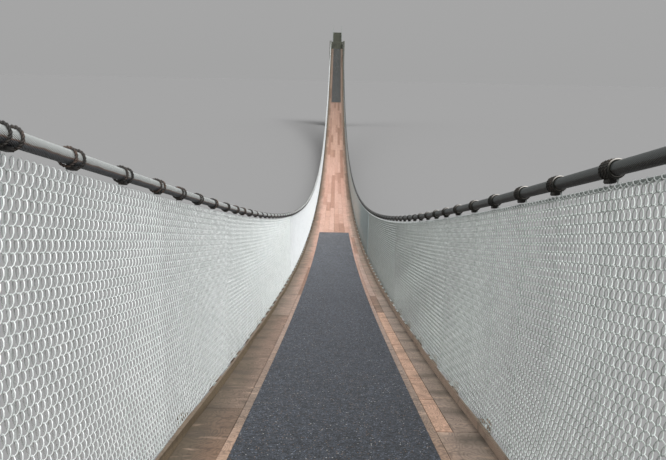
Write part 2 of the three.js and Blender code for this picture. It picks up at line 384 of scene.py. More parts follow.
def weatheredCedar():
    look = cedarLook
    material, add = newMaterial("weathered_cedar", 0.0, look["roughness"])
    tone, own, fine, marks = sawnFace(add)
    place = add("SeparateXYZ", surface(add)).outputs
    share, aside = alongBridge(add)
    rightPaintedPaler = add("Math", place["X"], 0.0, operation="GREATER_THAN")
    # the ramps along the bridge hold painted shade towards the ends and painted light at mid span, besides the
    # weathering
    middle, left, right = [add("ValToRGB", share, stops=look[part]) for part in ("middle", "left", "right")]
    # the right-hand edge is painted paler than the left: painted light that makes up for the shadow the weave
    # casts on it
    edge = add("MixRGB", rightPaintedPaler, left, right)
    ragged = add("TexNoise", Vector=surface(add, (1, 0.3, 1)), Scale=40.0, Detail=3.0)
    # how far from the middle of the deck, in tenths of a metre
    reach = add("Math", roughen(add, aside, ragged, look["ragged"]), 10.0, operation="MULTIPLY")
    base = add("MixRGB", add("ValToRGB", reach, stops=look["edge"]), middle, edge)
    # each board its own shade; the newest boards are still warm and clean
    base = darken(add, base, tone, look["tones"])
    base = tint(add, base, look["fresh"], tone, look["freshFrom"])
    # the figure of the sawn face, curling round the knots
    curl = add("TexNoise", Vector=surface(add, (1, 0.55, 1)), Scale=look["swirl"], Detail=1.0, **own)
    rings = add("Math", curl, look["rings"], operation="MULTIPLY")
    base = darken(add, base, add("Math", rings, operation="FRACT"), look["figure"])
    base = darken(add, base, fine, look["fine"])
    base = darken(add, base, marks, look["worn"])
    base = tint(add, base, look["scuff"], marks, look["scuffFrom"])
    # olive dirt along the kerbs, and a damp stain reaching in from each hanger
    base = tint(add, base, look["dirt"], reach, look["dirtFrom"])
    bays = add("Math", place["Y"], 1 / span["bay"], 0.5, operation="MULTIPLY_ADD")
    besideHanger = add("Math", roughen(add, bays, ragged, look["stainRagged"]), 0.5, operation="PINGPONG")
    damp = 1.0
    for pattern, stops in ((besideHanger, "stainFrom"), (reach, "stainEdge"), (share, "stainReach")):
        ramp = add("ValToRGB", pattern, stops=look[stops])
        damp = add("Math", damp, ramp, operation="MULTIPLY")
    base = add("MixRGB", damp, base, colour(look["stain"]))
    paint(material, base, fine, look["bump"], look["depth"])
    return material


# Ribbed cedar of the kerbs: top and faces in shades set by which way they look, the right-hand face painted far
# paler as painted light, with saw ribs that run slantwise over both, drawn about three times coarser than life
# so that they show
ribLook = {"pitch": 0.0014, "slant": 0.8, "top": "#82715f", "left": "#78674f", "right": "#a89280",
           "upward": [(0.6, 0.0), (0.9, 1.0)], "worn": [(0.34, 0.7), (0.5, 1.0)],
           "rib": [(0.2, 0.42), (0.7, 1.0)]}


def ribbedCedar():
    material, add = newMaterial("ribbed_cedar", 0.0, cedarLook["roughness"])
    fine, marks = sawnFace(add)[2:]
    place = add("SeparateXYZ", surface(add)).outputs
    rightPaintedPaler = add("Math", place["X"], 0.0, operation="GREATER_THAN")
    face = add("MixRGB", rightPaintedPaler, colour(ribLook["left"]), colour(ribLook["right"]))
    # painted light: the colour goes by which way a face looks, and the right-hand face is painted paler than
    # the left to stand in for light the lamps do not give it
    base = tint(add, face, ribLook["top"], upwardness(add), ribLook["upward"])
    base = darken(add, base, marks, ribLook["worn"])
    along = add("Math", place["Z"], ribLook["slant"], place["Y"], operation="MULTIPLY_ADD")
    turns = add("Math", along, 2 * math.pi / ribLook["pitch"], operation="MULTIPLY")
    base = darken(add, base, ripple(add, turns)[1], ribLook["rib"])
    paint(material, base, fine, cedarLook["bump"], cedarLook["depth"])
    return material


def darkTimber(name, shades):
    # treated softwood, damp and shaded: dull and dark, with its grain across the bridge
    material, add = newMaterial(name, 0.0, 0.85)
    tone = add("Attribute", attribute_name="tone").outputs["Fac"]
    grain = add("TexNoise", Vector=surface(add, (0.08, 1, 1)), Scale=500.0, Detail=4.0)
    base = add("ValToRGB", grain, stops=list(zip((0.3, 0.55, 0.75), shades)))
    base = darken(add, base, tone, [(0.0, 0.72), (1.0, 1.1)])
    paint(material, base, grain, 0.3, 0.0004)
    return material


# Mineral-surfaced felt: dark slate granules in clumps, with pale, blue, brown and black chips among them,
# paler towards mid span with painted sheen. The granules are 1 to 2 mm on the real mat. All layers are drawn
# coarser than that, and further off also longer, so that the grit still shows.
feltLook = {"grit": [(1500.0, 0.22, 1.0), (750.0, 0.3, 1.0), (300.0, 0.42, 1.06)],
            # scale, stretch, dark, light, and where along the bridge it begins and is full
            "farGrit": [(400.0, 0.2, 0.62, 1.24, 0.15, 0.2), (360.0, 0.1, 0.6, 1.3, 0.2, 0.26)],
            "cloud": [(0.35, 0.88), (0.6, 1.0)], "chipStretch": 0.7,
            # scale, radius of the spot, how many of them, strength and colour
            "chips": [(840.0, (0.24, 0.38), (0.56, 0.68), 0.6, "#22262a"),
                      (820.0, (0.2, 0.34), (0.59, 0.71), 0.55, "#8995a8"),
                      (780.0, (0.19, 0.32), (0.68, 0.78), 0.5, "#a58768"),
                      (520.0, (0.14, 0.22), (0.7, 0.8), 0.85, "#c9c8c5")],
            "shades": [(0.0, "#4c525b"), (0.14, "#4a5059"), (0.2, "#60656f"), (0.27, "#7e838c"),
                       (0.33, "#8f939a"), (0.8, "#4f514e"), (1.0, "#434641")]}


def mineralFelt():
    material, add = newMaterial("mineral_surfaced_felt", 0.0, 0.9)
    share = alongBridge(add)[0]
    # painted sheen: the near mat grows paler towards mid span, where it is seen at a grazing angle
    base = add("ValToRGB", share, stops=feltLook["shades"])
    for scale, low, high in feltLook["grit"]:
        grit = add("TexNoise", Vector=surface(add), Scale=scale, Detail=2.0, Roughness=0.7)
        base = darken(add, base, grit, [(0.36, low), (0.6, high)])
    cloud = add("TexNoise", Vector=surface(add, (1, 0.5, 1)), Scale=14.0, Detail=4.0)
    base = darken(add, base, cloud, feltLook["cloud"])
    for scale, stretch, low, high, begin, full in feltLook["farGrit"]:
        speckle = add("TexNoise", Vector=surface(add, (1, stretch, 1)), Scale=scale, Detail=2.0, Roughness=0.7)
        amount = add("ValToRGB", share, stops=[(begin, 0.0), (full, 1.0)])
        base = darken(add, base, speckle, [(0.36, low), (0.6, high)], amount)
    for scale, (inner, outer), (begin, full), strength, shade in feltLook["chips"]:
        chips = add("TexVoronoi", Vector=surface(add, (1, feltLook["chipStretch"], 1)), Scale=scale)
        spot = add("ValToRGB", chips, stops=[(inner, 1.0), (outer, 0.0)])
        some = add("ValToRGB", chips.outputs["Color"], stops=[(begin, 0.0), (full, strength)])
        amount = add("Math", spot, some, operation="MULTIPLY")
        base = add("MixRGB", amount, base, colour(shade))
    paint(material, base, grit, 0.6, 0.0003)
    return material


def galvanised(name, low, high, metallic=0.3, roughness=0.45, paintedShadeRamp=None):
    # hot-dip zinc gone matt: pale grey, patchy, with a soft sheen; the ramp along the bridge is painted shade
    # that makes it duller in stretches
    material, add = newMaterial(name, metallic, roughness)
    cloud = add("TexNoise", Vector=surface(add), Scale=130.0, Detail=3.0)
    base = add("ValToRGB", cloud, stops=[(0.35, low), (0.65, high)])
    if paintedShadeRamp:
        base = darken(add, base, alongBridge(add)[0], paintedShadeRamp)
    paint(material, base)
    return material


# Spiral strand, one turn in 61 mm here, with its outer wires drawn thicker and fewer so that the lay shows
ropeLook = {"wires": 27, "lay": 0.061, "depth": 0.00018, "mottle": 0.16, "paintedLightLevels": (0.02, 0.24, 0.32, 0.4)}


def wireRope(name, shades, groove, bump):
    # weathered zinc wires, grimy in the grooves and rusty on the flank, with painted shade underneath and
    # painted light on top
    material, add = newMaterial(name, 0.12, 0.55)
    place = add("SeparateXYZ", surface(add)).outputs
    axis = add("Attribute", attribute_name="axisHeight").outputs["Fac"]
    rise = add("Math", place["Z"], axis, operation="SUBTRACT")
    aside = add("Math", place["X"], operation="ABSOLUTE")
    aside = add("Math", aside, cable["offset"], operation="SUBTRACT")
    mottle = add("TexNoise", Vector=surface(add, (1, 0.4, 1)), Scale=300.0, Detail=3.0)
    paintedLightLevel = add("Math", rise, 0.5 / cable["radius"], 0.5, operation="MULTIPLY_ADD")
    paintedLightLevel = roughen(add, paintedLightLevel, mottle, ropeLook["mottle"])
    base = add("ValToRGB", paintedLightLevel, stops=list(zip(ropeLook["paintedLightLevels"], shades)))
    angle = add("Math", rise, aside, operation="ARCTAN2")
    turns = add("Math", place["Y"], -2 * math.pi * ropeLook["wires"] / ropeLook["lay"], operation="MULTIPLY")
    phase = add("Math", angle, ropeLook["wires"], turns, operation="MULTIPLY_ADD")
    wave, crown = ripple(add, phase)
    base = darken(add, base, crown, [(0.1, groove), (0.6, 1.0)])
    paint(material, base, wave, bump, ropeLook["depth"])
    return material


def rustySteel(name, shades):
    # black steel rod with brown rust bloom
    material, add = newMaterial(name, 0.3, 0.65)
    tone = add("Attribute", attribute_name="tone").outputs["Fac"]
    bloom = add("TexNoise", Vector=surface(add), Scale=420.0, Detail=4.0)
    mixed = roughen(add, bloom, tone, 0.3)
    paint(material, add("ValToRGB", mixed, stops=list(zip((0.35, 0.55, 0.75), shades))))
    return material


def paintedLightSteel():
    # the pale zinc wrap: painted light on top and painted shade, black, underneath
    material, add = newMaterial("pale_rod_painted_light", 0.3, 0.5)
    cloud = add("TexNoise", Vector=surface(add), Scale=420.0, Detail=3.0)
    paintedLightLevel = roughen(add, upwardness(add), cloud, 0.3)
    shades = [(0.15, "#24241f"), (0.45, "#7b7771"), (0.75, "#bcb8b2")]
    paint(material, add("ValToRGB", paintedLightLevel, stops=shades))
    return material


# Board-marked concrete: cast against sawn boards 225 mm wide, dark with moss and painted shade, with level
# board lines, the boards' grain and dark streaks
concreteLook = {"board": 0.0225, "mossAndPaintedShade": [(0.3, "#585b4d"), (0.55, "#6f6f63"), (0.75, "#87857a")],
                "streak": [(0.42, 0.66), (0.6, 1.0)], "grain": [(0.35, 0.86), (0.6, 1.0)],
                "line": [(0.0, 0.6), (0.05, 1.0), (0.95, 1.0), (1.0, 0.6)]}


def boardMarkedConcrete():
    material, add = newMaterial("board_marked_concrete", 0.0, 0.88)
    grain = add("TexNoise", Vector=surface(add, (0.12, 0.12, 1)), Scale=260.0, Detail=5.0)
    cloud = add("TexNoise", Vector=surface(add), Scale=7.0, Detail=5.0)
    streak = add("TexNoise", Vector=surface(add, (1, 1, 0.08)), Scale=40.0, Detail=3.0)
    height = add("SeparateXYZ", surface(add)).outputs["Z"]
    boardsUp = add("Math", height, 1 / concreteLook["board"], operation="MULTIPLY")
    boardLine = add("Math", boardsUp, operation="FRACT")
    # the moss colours are darkened with painted shade as well as moss
    base = add("ValToRGB", cloud, stops=concreteLook["mossAndPaintedShade"])
    base = darken(add, base, streak, concreteLook["streak"], 0.8)
    base = darken(add, base, boardLine, concreteLook["line"], 0.6)
    base = darken(add, base, grain, concreteLook["grain"])
    paint(material, base, grain, 0.35, 0.001)
    return material


cedar = weatheredCedar()
kerbCedar = ribbedCedar()
bearerTimber = darkTimber("treated_softwood", ("#4f4439", "#75675a", "#8d7d6d"))
stepTimber = darkTimber("damp_step_timber", ("#3b3c34", "#55574b", "#6c6e60"))
felt = mineralFelt()
# painted light: the left-hand wire is painted pale as lit and the right-hand wire darker as shaded, and the far
# copies are painted so that their straight wires match the near coils
paintedLitWire = galvanised("galvanised_wire_left_painted_lit", "#d6dcda", "#e9edec",
                      paintedShadeRamp=[(0.15, 0.84), (0.19, 0.92), (0.22, 1.0)])
paintedLitFarWire = galvanised("galvanised_wire_left_painted_lit_far", "#b4b7b8", "#c4c7c8")
paintedShadeWire = galvanised("galvanised_wire_right_painted_shade", "#b0b7b3", "#c6ccc9",
                       paintedShadeRamp=[(0.15, 1.0), (0.2, 0.92), (0.24, 0.8), (0.285, 0.7)])
paintedShadeFarWire = galvanised("galvanised_wire_right_painted_shade_far", "#b2c1c1", "#c2cfcf", paintedShadeRamp=[(0.285, 0.75), (0.36, 1.0)])
rodZinc = galvanised("galvanised_rod", "#9aa09d", "#bcc2bf")
pipeZinc = galvanised("galvanised_pipe", "#7f8782", "#9aa29d", 0.4, 0.4)
strandZinc = galvanised("galvanised_strand", "#6a716d", "#868e89", 0.4, 0.45)
# lit and shaded copies of one rope: the left one painted pale as lit, the right one painted nearly black as
# shaded
paintedLitRope = wireRope("wire_rope_left_painted_lit", ("#4c4f54", "#80848b", "#a98a7a", "#f4f9f7"), 0.45, 1.0)
paintedShadeRope = wireRope("wire_rope_right_painted_shade", ("#0f0f0d", "#171714", "#2b2b27", "#454948"), 0.8, 0.4)
leftSteel = rustySteel("rusted_black_steel", ("#2b2a28", "#3b3734", "#5c4a40"))
# the right-hand clamps take a darker copy of the rusted steel: painted shade
paintedShadeSteel = rustySteel("black_steel_right_painted_shade", ("#191a16", "#22201c", "#3c332b"))
paintedLightRod = paintedLightSteel()
concrete = boardMarkedConcrete()
print("materials made")

# Deck boards, laid lengthwise in columns with butt joints over the cross-beams
sections = [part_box("deck_0%d" % number) for number in range(1, span["sections"] + 1)]
boards = {"thick": 0.0045, "gap": 0.0004, "endGap": 0.0010, "newGap": 0.0018, "cuts": 3, "sideEdge": 0.0573,
          "outEdge": 0.084, "rightJoint": 0.067, "middleCount": 6, "beamsPerBoard": (3, 4),
          "firstJoint": (0.3, 3.2), "wideUntil": -4.657, "patches": (0.074, 0.088, 0.098), "patchedUntil": -4.1,
          "newUnder": 0.1, "newTone": 1.0, "cleanTone": 0.9, "oldTones": 0.85}


def boardColumns():
    # left and right edges of each column of boards, and the stretch of the bridge that it runs along
    side, out, joint = boards["sideEdge"], boards["outEdge"], boards["rightJoint"]
    wide = 2 * side / boards["middleCount"]
    columns = [(-out, -side, None)]
    columns += [(-side + index * wide, -side + (index + 1) * wide, None if index else "strip")
                for index in range(boards["middleCount"])]
    columns += [(side, joint, "patched"), (joint, out, "far"), (side, out, "near")]
    return columns


def boardRuns(part):
    # where each board of a column starts and ends
    start, end = -span["half"], span["half"]
    if part == "near":
        end = boards["wideUntil"]
    if part in ("far", "patched"):
        start = boards["wideUntil"]
    joints = [start]
    if part == "strip":
        # one clean board beside the mat at the near end
        joints.append(boards["wideUntil"])
    # short new pieces let in beside the mat on the right
    while part == "patched" and joints[-1] < boards["patchedUntil"]:
        joints.append(joints[-1] + dice.choice(boards["patches"]))
    start = joints[-1]
    place = math.ceil((start + beamPitch * dice.uniform(*boards["firstJoint"])) / beamPitch) * beamPitch
    while place < end - beamPitch:
        joints.append(place)
        place += beamPitch * dice.choice(boards["beamsPerBoard"])
    joints.append(end)
    return list(zip(joints, joints[1:]))


def layBoards():
    places = [[] for _ in sections]
    centres = [(low.y + high.y) / 2 for low, high in sections]
    for x0, x1, part in boardColumns():
        for y0, y1 in boardRuns(part):
            middle, fresh = (y0 + y1) / 2, y1 - y0 < boards["newUnder"]
            if fresh:
                tone = boards["newTone"]
            elif part == "strip" and y1 == boards["wideUntil"]:
                tone = boards["cleanTone"]
            else:
                tone = boards["oldTones"] * dice.random()
            index = min(range(len(sections)), key=lambda section: abs(middle - centres[section]))
            places[index].append({
                "scale": (x1 - x0 - boards["gap"], y1 - y0 - boards["newGap" if fresh else "endGap"], 1),
                "shift": ((x0 + x1) / 2, middle, -boards["thick"] / 2), "tone": tone})
    for number, spots in enumerate(places, 1):
        piece = copyBlocks("deck_boards_0%d" % number, (1, 1, boards["thick"]), spots, cuts=boards["cuts"],
                           follow=deckTop)
        finishPiece(piece, cedar, "deck_boards", "deck_0%d" % number)


layBoards()
print("deck boards laid")

# Kerb planks set on edge along both sides of the deck, thinner at the top than at the foot. Batter is the
# share of the plank's thickness that the top is drawn back by, and bow says where along it, from the middle and
# as a share of its length, a plank bends outwards by as much.
kerb = {"inner": {"left": 0.0798, "right": 0.0806}, "outer": 0.0824, "high": {"left": 0.0048, "right": 0.0046},
        "seat": 0.0003, "gap": 0.0005, "batter": 0.45, "bow": 0.25, "runs": 4, "beamsPerPlank": 3, "tones": 0.3}


def kerbMaster(side):
    # a block of unit size, drawn back along its top edge towards the deck and all round where it bends
    master = blockMaster((1, 1, 1), cuts=boards["cuts"])
    editMode(corners=True)
    objectMode()
    for point in master.data.vertices:
        point.select = point.co.x * side < 0 < point.co.z or round(point.co.y, 3) == kerb["bow"]
    bpy.ops.object.mode_set(mode="EDIT")
    bpy.ops.transform.translate(value=(side * kerb["batter"], 0, 0))
    objectMode()
    return master


def layKerbs():
    for side, sideName in sides:
        master = kerbMaster(side)
        inner, high = kerb["inner"][sideName], kerb["high"][sideName]
        for run in range(1, kerb["runs"] + 1):
            tail = "%s_0%d" % (sideName, run)
            start, end = (corner.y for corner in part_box("kerb_" + tail))
            count = round((end - start) / (beamPitch * kerb["beamsPerPlank"]))
            length = (end - start) / count
            spots = [{"scale": (kerb["outer"] - inner, length - kerb["gap"], high),
                      "shift": (side * (inner + kerb["outer"]) / 2, start + (index + 0.5) * length,
                                kerb["seat"] + high / 2),
                      "tone": kerb["tones"] * dice.random()} for index in range(count)]
            piece = copyMany(master, "kerb_boards_" + tail, spots, deckTop)
            finishPiece(piece, kerbCedar, "deck_boards", "kerb_" + tail)
        dropMaster(master)


layKerbs()
print("kerbs laid")

# Anti-slip mats, one at each end, cut across often enough to follow the sag
mat = {"half": 0.052, "thick": 0.001, "seat": 0.0002, "facet": 0.064, "bevel": 0.0003}


def layMats():
    for name in ("mat_near", "mat_far"):
        low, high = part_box(name)
        count = round((high.y - low.y) / mat["facet"])
        spot = {"shift": (0, (low.y + high.y) / 2, mat["seat"] + mat["thick"] / 2)}
        piece = copyBlocks("felt_" + name, (2 * mat["half"], high.y - low.y, mat["thick"]), [spot],
                           mat["bevel"], count, deckTop)
        finishPiece(piece, felt, "anti_slip_mat", name)


layMats()
print("mats laid")

# Cross-beams every second hanger, and two stringers that tie them
beams = {"half": 0.098, "wide": 0.010, "deep": 0.014, "below": 0.0048, "bevel": 0.0008,
         "stringer": 0.062, "stringerWide": 0.008, "stringerDeep": 0.009, "stringerGap": 0.0004,
         "stringerCuts": 8, "stringerTone": 0.4}


def layBeams():
    for number, (low, high) in enumerate(sections, 1):
        first = math.ceil((low.y + beams["wide"]) / beamPitch)
        last = math.floor((high.y - beams["wide"]) / beamPitch)
        spots = [{"shift": (0, y, deckTop(y) - beams["below"] - beams["deep"] / 2),
                  "tilt": slopeOf(deckTop, y), "tone": dice.random()}
                 for y in (beam * beamPitch for beam in range(first, last + 1))]
        piece = copyBlocks("beams_0%d" % number, (2 * beams["half"], beams["wide"], beams["deep"]), spots,
                           beams["bevel"])
        finishPiece(piece, bearerTimber, "bearer_timber", "crossbeams_0%d" % number)
        spots = [{"scale": (1, high.y - low.y - beams["stringerGap"], 1), "tone": beams["stringerTone"],
                  "shift": (side * beams["stringer"], (low.y + high.y) / 2,
                            -beams["below"] - beams["stringerDeep"] / 2)} for side, _ in sides]
        piece = copyBlocks("stringers_0%d" % number, (beams["stringerWide"], 1, beams["stringerDeep"]), spots,
                           cuts=beams["stringerCuts"], follow=deckTop)
        finishPiece(piece, bearerTimber, "bearer_timber", "crossbeams_0%d" % number)


layBeams()
print("beams laid")


# Main cables, each one swept from end to end
def runCables():
    reach = span["half"] - cable["endGap"]
    count = round(2 * reach / cable["step"])
    y = np.linspace(-reach, reach, count + 1)
    for (side, sideName), finish in zip(sides, (paintedLitRope, paintedShadeRope)):
        route = np.column_stack([np.full(len(y), side * cable["offset"]), y, cableAxis(y)])
        piece = wires("main_cable_" + sideName, [route], cable["radius"], cable["faces"])
        # the height of the cable's own middle at every point, for its finish
        points = readMesh(piece)[0]
        mark = piece.data.attributes.new("axisHeight", "FLOAT", "POINT")
        mark.data.foreach_set("value", cableAxis(points[:, 1]).astype(np.float32))
        finishPiece(piece, finish, "wire_rope", "cable_" + sideName)


runCables()
print("cables run")

# Woven wire: rows of flat coils that run along the bridge, each hooked through the next. A coil is as tall as
# hook rows. Foot is how far below the deck's top the weave begins, top how far below the cable it ends.
woven = {"pitch": 0.00535, "rows": 35, "wire": 0.00025, "depth": 0.00115, "hook": 1.12, "foot": 0.0042,
         "top": {"left": 0.0050, "right": 0.0062}, "ragged": 0.012, "stagger": 0.012, "scatter": 2.4,
         "overlap": 0.02, "faces": 3, "shortest": 0.02, "endGap": 0.001}
# Stretches near the camera where the loops show: start, end, points in a turn and faces of the wire. With two
# points in a turn a coil is a flat zigzag.
nearest = [("near", -4.94, -4.68, 10, 4), ("middle", -4.68, -4.43, 6, 3)]
wovenNear = {"left": [*nearest, ("last", -4.43, -3.45, 4, 3)],
             "right": [*nearest, ("last", -4.43, -3.9, 4, 3), ("zigzag", -3.9, sections[1][1].y, 2, 3)]}


def wovenBand(y, sideName):
    # the foot of the weave and the height of a row
    low = deckTop(y) - woven["foot"]
    high = cableAxis(y) - woven["top"][sideName]
    pitch = (high - low) / (woven["rows"] - 1 + woven["hook"])
    return low, pitch


def coilRows(side, sideName, start, end, perTurn):
    # one wound wire to a row, half a turn on in every other row; a zigzag has its points at head and foot
    routes = []
    ends = (wovenNear[sideName][0][1], wovenNear[sideName][-1][2])
    zigzag = 0.25 if perTurn == 2 else 0.0
    for row in range(woven["rows"]):
        shift = (row % 2) * 0.5
        # coils give way to straight wires a little sooner or later in each row
        rowStart, rowEnd = (place + dice.uniform(-1, 1) * woven["ragged"] if place in ends else place
                            for place in (start, end))
        first = math.ceil((rowStart / woven["pitch"] + shift) * perTurn)
        last = math.floor((rowEnd / woven["pitch"] + shift) * perTurn)
        turn = np.arange(first, last + 1) / perTurn + zigzag
        y = (turn - shift) * woven["pitch"]
        low, pitch = wovenBand(y, sideName)
        tall = pitch * woven["hook"] / 2
        x = side * cable["offset"] + woven["depth"] * np.cos(2 * math.pi * turn)
        z = low + tall + row * pitch + tall * np.sin(2 * math.pi * turn)
        routes.append(np.column_stack([x, y, z]))
    return routes


def slantedWires(side, sideName, start, end):
    # away from the camera the two faces of the weave are straight slanted wires
    routes = []
    edge = span["half"] - woven["endGap"]
    lean = woven["rows"] * woven["pitch"] / 2
    for face in (1, -1):
        x = side * cable["offset"] + face * woven["depth"]
        first = math.floor((start - lean) / woven["pitch"])
        last = math.ceil((end + lean) / woven["pitch"])
        for index in range(first, last + 1):
            foot = (index + (-0.25 if face > 0 else 0.75)) * woven["pitch"]
            head = foot + face * lean
            headLow, headPitch = wovenBand(head, sideName)
            footZ = wovenBand(foot, sideName)[0]
            headZ = headLow + headPitch * (woven["rows"] - 1 + woven["hook"])
            (ya, za), (yb, zb) = sorted([(foot, footZ), (head, headZ)])
            # no two neighbours are cut at one place, and both sides of a cut agree on it
            stagger = woven["stagger"] * math.sin(woven["scatter"] * index + face)
            cutA = max(0.0, (max(start + stagger, -edge) - ya) / (yb - ya))
            cutB = min(1.0, (min(end + stagger, edge) - ya) / (yb - ya))
            if cutB - cutA > woven["shortest"]:
                routes.append([(x, ya + (yb - ya) * cut, za + (zb - za) * cut) for cut in (cutA, cutB)])
    return routes


def hangWeave():
    edge = span["half"] - woven["endGap"]
    for (side, sideName), finish, farFinish in zip(sides, (paintedLitWire, paintedShadeWire), (paintedLitFarWire, paintedShadeFarWire)):
        stretches = wovenNear[sideName]
        nearStart, nearEnd = stretches[0][1] + woven["overlap"], stretches[-1][2] - woven["overlap"]
        for number, (low, high) in enumerate(sections, 1):
            start, end = max(low.y, -edge), min(high.y, edge)
            if number == 1:
                end = nearStart
            elif end < nearEnd + 2 * woven["overlap"]:
                continue
            elif start < nearEnd:
                start = nearEnd
            routes = slantedWires(side, sideName, start, end)
            piece = wires("weave_%s_0%d" % (sideName, number), routes, woven["wire"], woven["faces"])
            finishPiece(piece, farFinish, "mesh_wire", "mesh_%s_0%d" % (sideName, number))
        for stretch, start, end, perTurn, faces in stretches:
            routes = coilRows(side, sideName, start, end, perTurn)
            piece = wires("weave_%s_%s" % (sideName, stretch), routes, woven["wire"], faces)
            nodes = ["mesh_%s_02" % sideName]
            if stretch == "near":
                nodes.append("mesh_%s_01" % sideName)
            finishPiece(piece, finish, "mesh_wire", *nodes)


hangWeave()
print("woven wire hung")

# A laid rope runs through the top row on the right, tied on by a thin wire wound round it. Away from the
# camera the winding is too fine to show, and the rope takes its girth and the wire's paler finish, painted as
# lit.
topRope = {"radius": {"near": 0.00065, "far": 0.001}, "drop": 0.0062, "wind": 0.00092, "wire": 0.00026,
           "perTurn": 8, "step": 0.02, "endGap": 0.002, "faces": 8, "lacingFaces": 4}


def runTopRope():
    edge = span["half"] - topRope["endGap"]
    change = wovenNear["right"][-1][2]
    for name, start, end, finish in (("near", -edge, change, strandZinc), ("far", change, edge, paintedLitWire)):
        y = np.linspace(start, end, round((end - start) / topRope["step"]) + 1)
        route = np.column_stack([np.full(len(y), cable["offset"]), y, cableAxis(y) - topRope["drop"]])
        piece = wires("top_rope_right_" + name, [route], topRope["radius"][name], topRope["faces"])
        finishPiece(piece, finish, "clamp_steel")
    first = math.ceil(wovenNear["right"][0][1] / woven["pitch"] * topRope["perTurn"])
    last = math.floor(change / woven["pitch"] * topRope["perTurn"])
    turn = np.arange(first, last + 1) / topRope["perTurn"]
    y = turn * woven["pitch"]
    x = cable["offset"] - topRope["wind"] * np.cos(2 * math.pi * turn)
    z = cableAxis(y) - topRope["drop"] + topRope["wind"] * np.sin(2 * math.pi * turn)
    piece = wires("rope_lacing_right", [np.column_stack([x, y, z])], topRope["wire"], topRope["lacingFaces"])
    finishPiece(piece, paintedLitWire, "mesh_wire")


runTopRope()
print("top rope run")

# Hangers at every clamp, from its saddle down to the beams or, between them, to a bracket on the deck. Stray
# is how many mm the ones in some bays stand off their even places.
hanger = {"offset": 0.0929, "radius": 0.00035, "faces": 5, "foot": 0.0048, "head": 0.0030,
          "bracket": (0.0115, 0.0034, 0.0022), "bracketMiddle": 0.0878,
          "bays": [-77, -76, -75, -74, -73, -72, -71, -70, -69, -68, -67, -66, -60, -40],
          "stray": {"left": [0, -1, -12, -12, -12, -20, -24, -23, -20, -20, -29, -29, -30, 0],
                    "right": [0, -9, -10, -8, -12, -10, -8, -4, -5, -7, -7, -7, -5, 0]}}


def hangerPlace(bay, sideName):
    return bay * span["bay"] + 0.001 * float(np.interp(bay, hanger["bays"], hanger["stray"][sideName]))


def dropHangers():
    for (side, sideName), finish in zip(sides, (paintedLitWire, rodZinc)):
        routes, brackets = [], []
        for bay in range(-span["lastHanger"], span["lastHanger"] + 1):
            x, y = side * hanger["offset"], hangerPlace(bay, sideName)
            routes.append([(x, y, deckTop(y) - hanger["foot"]), (x, y, cableAxis(y) - hanger["head"])])
            if bay % span["baysPerBeam"] or y != bay * span["bay"]:
                brackets.append({"tilt": slopeOf(deckTop, y),
                                 "shift": (side * hanger["bracketMiddle"], y,
                                           deckTop(y) - beams["below"] - hanger["bracket"][2] / 2)})
        piece = wires("hangers_" + sideName, routes, hanger["radius"], hanger["faces"])
        finishPiece(piece, finish, "mesh_wire")
        piece = copyBlocks("hanger_brackets_" + sideName, hanger["bracket"], brackets)
        finishPiece(piece, rodZinc, "mesh_wire")


dropHangers()
print("hangers hung")

# Cable clamps: wraps of twisted rod round the cable over a saddle block. Wraps are their places along the
# cable; the first of the near ones on the right is a pale ring, painted light on top and painted shade below,
# and leans. Angles are in degrees. Ring is how many cuts a plain ring has round the cable and round its rod.
clamp = {"rod": 0.00034, "twist": 0.0003, "twists": 9, "steps": 40, "faces": 5, "lean": 1.5,
         "plainRod": 0.00045, "ring": {"pale": (28, 8), "far": (8, 3)},
         "wraps": {"left": (-0.0043, 0.0043), "right": (-0.0036, -0.0009, 0.0020, 0.0050)},
         "farWraps": {"left": (-0.0043, 0.0043), "right": (-0.0045, 0.0, 0.0045)}, "paleLean": 12,
         "block": {"left": (0.0028, 0.0060, 0.0012), "right": (0.0030, 0.0056, 0.0016)},
         "bevel": {"near": 0.0004, "far": 0.0},
         "blockDrop": {"left": 0.0035, "right": 0.0038}, "blockOn": {"left": 0.0, "right": 0.0025},
         "nearStart": -4.95, "nearEnd": -4.2, "blockTones": 0.5}


def plainRing(kind):
    # a ring of plain rod round the cable
    startFresh()
    rod = clamp["plainRod"]
    major, minor = clamp["ring"][kind]
    bpy.ops.mesh.primitive_torus_add(major_radius=cable["radius"] + rod, minor_radius=rod, major_segments=major,
                                     minor_segments=minor, rotation=(math.radians(90), 0, 0))
    bpy.ops.object.transform_apply(location=False, rotation=True, scale=False)
    return bpy.context.object


def twistedRing():
    # two thin rods twisted together, once round the cable, with their ends at the bottom in the saddle
    rod, wind = clamp["rod"], clamp["twist"]
    turn = np.linspace(0, 1, clamp["steps"] + 1)
    around = -math.pi / 2 + 2 * math.pi * turn
    routes = []
    for start in (0.0, math.pi):
        twist = start + 2 * math.pi * clamp["twists"] * turn
        reach = cable["radius"] + rod + wind + wind * np.cos(twist)
        routes.append(np.column_stack([reach * np.cos(around), wind * np.sin(twist), reach * np.sin(around)]))
    return wires("twisted_ring", routes, rod, clamp["faces"])


